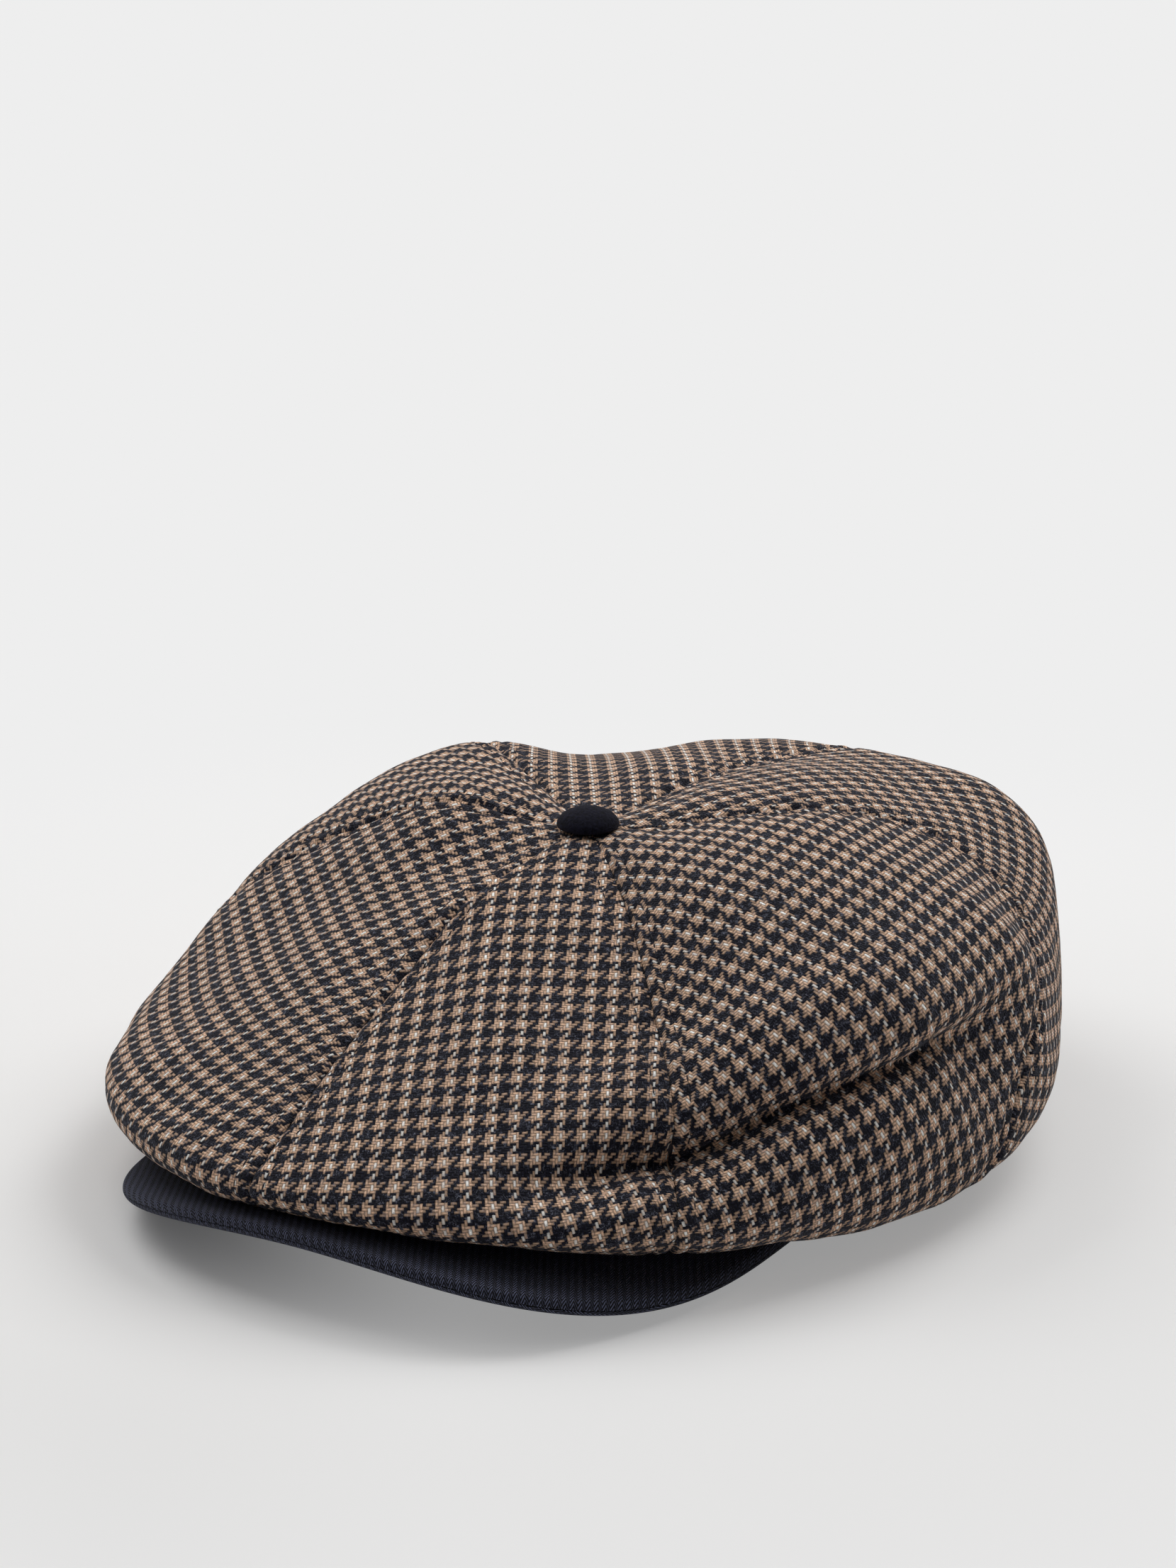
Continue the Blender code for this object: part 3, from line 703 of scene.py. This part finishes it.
def sweatband_outline(angle):
    low, high = sweatband_edge(angle), sweatband_edge(angle) + SWEATBAND_WIDTH
    outside = float(around(HEM_RADIUS, angle)) - BAND_GAP
    inside, middle, half = outside - SWEATBAND, outside - SWEATBAND / 2, SWEATBAND / 2
    fold = np.linspace(0, math.pi, BAND_FOLD_STEPS + 1)
    dent_foot, dent, dent_head = high - np.array(BAND_STITCH_PLACES)
    bottom = [(middle + half * math.cos(t), low + half - half * math.sin(t)) for t in fold]
    front_heights = np.linspace(low + BAND_FOLD_CLEAR, dent_foot, BAND_FRONT_POINTS)
    back_heights = np.linspace(high - BAND_FOLD_CLEAR, low + BAND_FOLD_CLEAR, BAND_BACK_POINTS)
    front_face = [(inside, z) for z in front_heights]
    stitched = [(inside + BAND_STITCH_SINK, dent), (inside, dent_head)]
    top = [(middle + half * math.cos(t), high - half + half * math.sin(t)) for t in fold[::-1]]
    back_face = [(outside, z) for z in back_heights]
    return bottom + front_face + stitched + top + back_face


sweatband = closed_ring("sweatband_cotton", sweatband_outline, BAND_COLUMNS)
sweatband.data.materials.append(cotton.material)
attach(sweatband, "crown")
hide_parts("sweatband")
band_angles = np.linspace(0, 2 * math.pi, BAND_COLUMNS, endpoint=False)
band_length = float(np.mean(around(HEM_RADIUS, band_angles))) * 2 * math.pi
size = (SWEATBAND_WIDTH * MM, band_length * MM)

# Headband stay: a stiff woven cotton tape that keeps the head opening round.
# It is sewn behind the sweatband, just above the hem.
TAPE_RIBS = 900  # to the metre
TAPE_COLOURS = (linear(190, 184, 172), linear(214, 209, 198))

tape = Look("stay_tape", 0.9, Specular_IOR_Level=0.2)
_, _, tape_z = tape.parts(tape.object_place())
tape_rib = (tape_z * TAPE_RIBS % 1 * 2 - 1).abs()
tape.set("Base Color", tape.mix(tape_rib, *TAPE_COLOURS))
tape.bump(tape_rib, 0.2 * MM, 0.6)


def finish_node(name, look):
    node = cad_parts[name]
    node.data.materials.clear()
    node.data.materials.append(look.material)


finish_node("headband_stay", tape)

# Brim: a stiff curved board between two covers of navy herringbone wool, joined along its rounded edge.
# The covers are cut on the bias so that the cloth takes the curve, and drawn tight over the board.
BRIM_END_ANGLE = math.radians(66)
BRIM_CENTRE_Y = -50.4
BRIM_HALF_WIDTH = 93.3
BRIM_REACH = 99.6
BRIM_FULLNESS = 2.84
BRIM_EDGE_HEIGHT = 20.8
BRIM_EDGE_DROP = 17.3
BRIM_SEAM = 5.4
BRIM_HEM_GAP = 0.3
BRIM_HALF = 2.15
BRIM_EDGE_GAP = 0.1
BRIM_COVER = 1.0
BRIM_COLUMNS = 160
BRIM_ROWS = 28
BRIM_LIP_ROWS = 8
SLOPE_STEP = 0.001  # of plan angle, for the hem's direction
EDGE_HALVINGS = 50
BRIM_BIAS = -31.0
ZIGZAG = 2.1
ZIGZAG_PITCH = 1.4
ZIGZAG_RISE = 1.7  # in pitches, over half a column
ZIGZAG_WANDER = 0.5
# The navy of the cloth, and a painted highlight for its twill ribs
HERRINGBONE_AND_HIGHLIGHT_COLOURS = (linear(11, 11, 17), linear(112, 117, 146))
LINT_COLOUR = linear(150, 148, 150)
LINT_COVER = 0.25

herringbone = Look("navy_herringbone", 0.9, Specular_IOR_Level=0.2, Sheen_Weight=0.06)
herringbone.set("Sheen Roughness", 0.45)
place = herringbone.cloth_place()
wander = (herringbone.noise(place, 0.5, 2.0) - 0.5) * ZIGZAG_WANDER
brim_u, brim_v, _ = herringbone.parts(place)
column_at = (brim_u + wander) * (1 / ZIGZAG) % 1
leg = (column_at * 2 - 1).abs()
rib_at = (brim_v + wander) * (1 / ZIGZAG_PITCH) + leg * ZIGZAG_RISE
rib = (rib_at % 1 * 2 - 1).abs()
nap = herringbone.noise(place, 4.0, 3.0, 0.65)
# Painted highlight: the ribs lighter where they rise, and one arm of each zigzag lighter than the other,
# as if lit from one side
painted_highlight = rib.ramp(0.4, 0.8) * (0.25 + 0.7 * nap) * (0.55 + 0.75 * (column_at < 0.5))
dark_cloth = herringbone.mix(painted_highlight, *HERRINGBONE_AND_HIGHLIGHT_COLOURS)
lint = herringbone.fibres(place, 0.9, 0.012, 5.0)
herringbone.set("Base Color", herringbone.mix(lint * LINT_COVER, dark_cloth, LINT_COLOUR))
herringbone.bump(rib * 0.7 + nap * 0.6 + lint * 0.3, 0.3 * MM, 0.8)


def brim_frame(angle):
    """Inner and outer ends of the brim's middle surface at a plan angle, square to the hem."""
    steps = np.array([angle - SLOPE_STEP, angle, angle + SLOPE_STEP])
    hem_radius = around(HEM_RADIUS, steps) + BRIM_HEM_GAP
    hem = np.column_stack([np.sin(steps), -np.cos(steps)]) * hem_radius[:, None]
    tangent = hem[2] - hem[0]
    outward = np.array([tangent[1], -tangent[0]]) / np.linalg.norm(tangent)
    near, far = 0.0, 2 * BRIM_REACH
    for _ in range(EDGE_HALVINGS):
        depth = (near + far) / 2
        x, y = np.abs(hem[1] + outward * depth - np.array([0, BRIM_CENTRE_Y]))
        inside = (x / BRIM_HALF_WIDTH) ** BRIM_FULLNESS + (y / BRIM_REACH) ** BRIM_FULLNESS < 1
        near, far = (depth, far) if inside else (near, depth)
    edge = hem[1] + outward * near
    inner_height = float(hem_height(angle)) - BRIM_SEAM - BRIM_HALF
    edge_height = BRIM_EDGE_HEIGHT - BRIM_EDGE_DROP * (edge[0] / BRIM_HALF_WIDTH) ** 2
    return np.array([*hem[1], inner_height]), np.array([*edge, edge_height])


def brim_surface(side):
    """Cover points from the inner edge out over the brim and round its edge, and the same laid flat."""
    points, flat = [], []
    for angle in np.linspace(-BRIM_END_ANGLE, BRIM_END_ANGLE, BRIM_COLUMNS + 1):
        inner, edge = brim_frame(angle)
        depth = float(np.hypot(*(edge - inner)[:2]))
        step = (edge - inner) / depth
        lip = min(BRIM_HALF, depth / 2)
        turn = np.linspace(0, math.pi / 2, BRIM_LIP_ROWS + 1)[1:]
        out = np.append(np.linspace(0, depth - lip, BRIM_ROWS + 1), depth - lip + lip * np.sin(turn))
        rounded = BRIM_EDGE_GAP + (BRIM_HALF - BRIM_EDGE_GAP) * np.cos(turn)
        rise = np.append(np.full(BRIM_ROWS + 1, BRIM_HALF), rounded)
        points.append(inner + np.outer(out, step) + np.outer(side * rise, (0, 0, 1)))
        flat.append(inner[:2] + np.outer(lengths(np.column_stack([out, rise])), step[:2]))
    flat = np.array(flat) * np.array([side, 1])
    return np.array(points) + BUTTON_AXIS, flat


for place_name, side in (("top", 1), ("under", -1)):
    surface, flat = [grid[:: -side] for grid in brim_surface(side)]
    piece = cloth_grid(f"brim_{place_name}_cloth", surface, turned_flat(flat, BRIM_BIAS))
    apply_modifier(piece, "SOLIDIFY", thickness=BRIM_COVER * MM, offset=-1.0)
    piece.data.materials.append(herringbone.material)
    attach(piece, "brim")
    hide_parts(f"brim_{place_name}_cover")
    size = tuple(np.ptp(flat, axis=(0, 1)) * MM)
    area = flat_area(flat) * MM**2

PULP_SCALE = 900.0
PULP_COLOURS = (linear(56, 54, 52), linear(70, 68, 66))

board = Look("brim_board", 0.8, Specular_IOR_Level=0.3)
pulp = board.noise(board.object_place(), PULP_SCALE, 3.0)
board.set("Base Color", board.mix(pulp, *PULP_COLOURS))
board.bump(pulp, 0.1 * MM, 0.5)
finish_node("brim_board", board)

# Brim seam: a strip of the brim's cloth sewn to the crown's hem above and down the brim's inner edge.
# It is where the brim hinges: its top lies against the crown, and from the brim's upper face down it
# lies against the brim.
STRIP_ABOVE_HEM = 1.3
STRIP_ROWS = 16
STRIP_THICKNESS = 0.4
STRIP_INSET = 0.1

strip_height = STRIP_ABOVE_HEM + BRIM_SEAM + 2 * BRIM_HALF
strip_up = np.linspace(0, strip_height, STRIP_ROWS + 1)
strip = []
for angle in np.linspace(-BRIM_END_ANGLE, BRIM_END_ANGLE, BRIM_COLUMNS + 1):
    inner, _ = brim_frame(angle)
    foot = inner - np.array([math.sin(angle), -math.cos(angle), 0]) * STRIP_INSET
    strip.append(foot + np.outer(strip_up - BRIM_HALF, (0, 0, 1)))
strip = np.array(strip) + BUTTON_AXIS
strip_length = lengths(strip[:, 0])
flat = np.stack(np.meshgrid(strip_length, strip_up, indexing="ij"), -1)
brim_seam = cloth_grid("brim_seam_strip", strip, flat)
apply_modifier(brim_seam, "SOLIDIFY", thickness=STRIP_THICKNESS * MM, offset=-1.0)
brim_seam.data.materials.append(herringbone.material)
middle = strip[BRIM_COLUMNS // 2]
seam_top = middle[-1] - np.array([0, 0, STRIP_ABOVE_HEM])
slope = strip[0, 0] - middle[0]
across_slope = np.array([0, -slope[2], slope[1]]) / np.hypot(slope[1], slope[2])
seam_foot = seam_top - across_slope * (BRIM_SEAM * across_slope[2])
tuple(seam_top * MM)
tuple(seam_foot * MM)
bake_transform(brim_seam)
size = (strip_height * MM, strip_length[-1] * MM)

# Button: felted navy wool drawn over a steel dome and turned under its edge.
# A back plate closes the dome, and its shank goes through the crown's top to a washer inside.
BUTTON_RADIUS = 9.15
BUTTON_HEIGHT = 5.6
BUTTON_LIFT = 0.9
BUTTON_WAIST = 0.5
BUTTON_UNDER_DEPTH = 1.2
BUTTON_COVER = 0.9
BUTTON_TURN_UNDER = 112.0
BUTTON_TURNING = 4.0  # cloth turned under all round
BUTTON_SEGMENTS = 96
BUTTON_RINGS = 60
FLEECE_SCALE = 900.0
FELT_COLOURS = (linear(10, 10, 17), linear(31, 31, 47))

felt = Look("navy_felt", 0.95, Specular_IOR_Level=0.12, Sheen_Weight=0.04, Sheen_Roughness=0.4)
place = felt.object_place()
fleece = felt.noise(place, FLEECE_SCALE, 4.0, 0.7, 0.6)
felt.set("Base Color", felt.mix(fleece.ramp(0.3, 0.75), *FELT_COLOURS))
felt.bump(fleece, 0.6 * MM, 0.9)
bpy.ops.object.select_all(action="DESELECT")
bpy.ops.mesh.primitive_uv_sphere_add(segments=BUTTON_SEGMENTS, ring_count=BUTTON_RINGS, radius=1)
button = bpy.context.object
button.name = button.data.name = "button_cloth"
bpy.ops.object.mode_set(mode="EDIT")
bpy.ops.mesh.select_all(action="DESELECT")
bpy.ops.object.mode_set(mode="OBJECT")
lowest = math.cos(math.radians(BUTTON_TURN_UNDER))
for vertex in button.data.vertices:
    vertex.select = vertex.co.z < lowest
bpy.ops.object.mode_set(mode="EDIT")
bpy.ops.mesh.delete(type="VERT")
bpy.ops.object.mode_set(mode="OBJECT")
waist = CROWN_HEIGHT - HOLLOW_DEPTH + BUTTON_LIFT + BUTTON_WAIST
for vertex in button.data.vertices:
    x, y, z = vertex.co
    tall = BUTTON_HEIGHT - BUTTON_WAIST if z > 0 else BUTTON_UNDER_DEPTH
    place = np.array([x * BUTTON_RADIUS, y * BUTTON_RADIUS, waist + z * tall]) + BUTTON_AXIS
    vertex.co = Vector(place * MM)
bpy.ops.object.shade_smooth()
apply_modifier(button, "SOLIDIFY", thickness=BUTTON_COVER * MM, offset=-1.0)
button.data.materials.append(felt.material)
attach(button, "crown")
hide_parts("button_cover")
cut = 2 * (BUTTON_RADIUS + BUTTON_TURNING) * MM
area = math.pi / 4 * cut**2

STEEL_GRAIN = 1500.0
STEEL_COLOURS = (linear(150, 150, 152), linear(182, 182, 184))

steel = Look("steel", 0.35, Metallic=1.0)
brushed = steel.noise(steel.object_place(), STEEL_GRAIN, 2.0)
steel.set("Base Color", steel.mix(brushed, *STEEL_COLOURS))
steel.set("Roughness", 0.28 + 0.16 * brushed)
for node_name in ("button_shell", "button_back", "button_washer"):
    finish_node(node_name, steel)

# Press fastener: a stud on the brim and its socket under the crown's front, both of blacked metal.
# Each is sewn to the cloth behind it, and pressed together they hold the crown down on the brim.
WEAR_SCALE = 800.0
BLACKED_COLOURS = (linear(36, 36, 38), linear(58, 58, 60))

blacked = Look("blacked_metal", 0.45, Metallic=1.0)
worn = blacked.noise(blacked.object_place(), WEAR_SCALE, 2.0)
blacked.set("Base Color", blacked.mix(worn, *BLACKED_COLOURS))
blacked.set("Roughness", 0.4 + 0.2 * worn)
for node_name in ("snap_stud", "snap_socket"):
    finish_node(node_name, blacked)

# Studio: the cap stands on a pale seamless sweep of paper, with the camera at the photograph's angle.
# Four broad soft lamps light it from above. Sizes are in metres, and powers in watts.
SWEEP_COLOURS = (linear(251, 250, 249), linear(249, 248, 247))
BACKGROUND_COLOUR = linear(238, 238, 238)
# Far from the cap the paper shows only the background's grey; near it, mostly its own light and shadow
GLOW_REACH = (0.16, 0.45)
GLOW_NEAR = 0.08
GLOW_ASIDE = 0.28  # more on the camera's right, where the shadow is fainter
GLOW_ASIDE_FROM = (-0.13, -0.03)
SWEEP_NEAR = -14.0
SWEEP_FAR = 2.4
SWEEP_BEND = 1.0
SWEEP_TOP = 4.0
SWEEP_WIDTH = 28.0
SWEEP_STEPS = 24
SWEEP_COLUMNS = 8
CAMERA_TURN = math.radians(31.2)
CAMERA_TILT = math.radians(17.5)
CAMERA_DISTANCE = 1.1
CAMERA_RISE = 0.1013
LENS = 85
VIEW_DEPTH = 60
LAMPS = (
    ("left_light", (-0.95, 0.15, 1.15), 1.0, 8.5),
    ("left_fill", (-0.51, -0.93, 1.06), 1.0, 2.0),
    ("back_light", (0.31, 0.91, 1.15), 1.0, 11.5),
    ("top_light", (0.0, 0.0, 1.5), 1.4, 4.0),
)
SKY_STRENGTH = 0.05

bend = np.linspace(0, math.pi / 2, SWEEP_STEPS + 1)
sweep_out = [SWEEP_NEAR, *(SWEEP_FAR + SWEEP_BEND * np.sin(bend)), SWEEP_FAR + SWEEP_BEND]
sweep_up = [0, *(SWEEP_BEND * (1 - np.cos(bend))), SWEEP_TOP]
away = np.array([-math.sin(CAMERA_TURN), math.cos(CAMERA_TURN)])
aside = np.array([math.cos(CAMERA_TURN), math.sin(CAMERA_TURN)])
sheet_points = np.array(
    [
        [[*(away * out + aside * side), height] for out, height in zip(sweep_out, sweep_up)]
        for side in np.linspace(-SWEEP_WIDTH / 2, SWEEP_WIDTH / 2, SWEEP_COLUMNS + 1)
    ]
)
sweep = cloth_grid("sweep", sheet_points / MM, sheet_points[..., :2])
paper = Look("sweep_paper", 0.9, Specular_IOR_Level=0.1)
place = paper.object_place()
paper.set("Base Color", paper.mix(paper.noise(place, 3.0), *SWEEP_COLOURS))
spot = paper.node("ShaderNodeVectorMath", {"operation": "LENGTH"}, {0: place}, "Value")
values = {0: place, 1: (*aside, 0)}
aside_at = paper.node("ShaderNodeVectorMath", {"operation": "DOT_PRODUCT"}, values, "Value")
near_glow = GLOW_NEAR + GLOW_ASIDE * aside_at.ramp(*GLOW_ASIDE_FROM)
glow_share = near_glow + (1 - near_glow) * spot.ramp(*GLOW_REACH)
ray_kinds = ("Is Camera Ray", "Is Glossy Ray", "Is Transmission Ray")
seen = sum(paper.node("ShaderNodeLightPath", {}, {}, kind) for kind in ray_kinds)
glow = paper.node("ShaderNodeEmission", {}, {"Color": BACKGROUND_COLOUR, "Strength": 1.0})
lit = Value(paper, paper.shader.outputs[0])
shown = paper.node("ShaderNodeMixShader", {}, {0: seen * glow_share, 1: lit, 2: glow})
paper.put(paper.tree.nodes["Material Output"].inputs["Surface"], shown)
sweep.data.materials.append(paper.material)

back = Vector(
    (
        math.sin(CAMERA_TURN) * math.cos(CAMERA_TILT),
        -math.cos(CAMERA_TURN) * math.cos(CAMERA_TILT),
        math.sin(CAMERA_TILT),
    )
)
right = Vector((math.cos(CAMERA_TURN), math.sin(CAMERA_TURN), 0))
up = back.cross(right)
aim = up * CAMERA_RISE + Vector(BUTTON_AXIS * MM)
lens = bpy.data.cameras.new("camera")
lens.lens = LENS
lens.clip_end = VIEW_DEPTH
camera = bpy.data.objects.new("camera", lens)
camera.location = aim + back * CAMERA_DISTANCE
camera.rotation_mode = "QUATERNION"
camera.rotation_quaternion = back.to_track_quat("Z", "Y")
bpy.context.scene.collection.objects.link(camera)
bpy.context.scene.camera = camera

for name, place, size, power in LAMPS:
    lamp = bpy.data.lights.new(name, "AREA")
    lamp.shape = "SQUARE"
    lamp.size = size
    lamp.energy = power
    holder = bpy.data.objects.new(name, lamp)
    holder.location = place
    holder.rotation_mode = "QUATERNION"
    holder.rotation_quaternion = Vector(place).to_track_quat("Z", "Y")
    bpy.context.scene.collection.objects.link(holder)

world = bpy.context.scene.world or bpy.data.worlds.new("studio")
bpy.context.scene.world = world
world.use_nodes = True
world.node_tree.nodes["Background"].inputs["Color"].default_value = (1, 1, 1, 1)
world.node_tree.nodes["Background"].inputs["Strength"].default_value = SKY_STRENGTH
bpy.context.scene.view_settings.view_transform = "Standard"
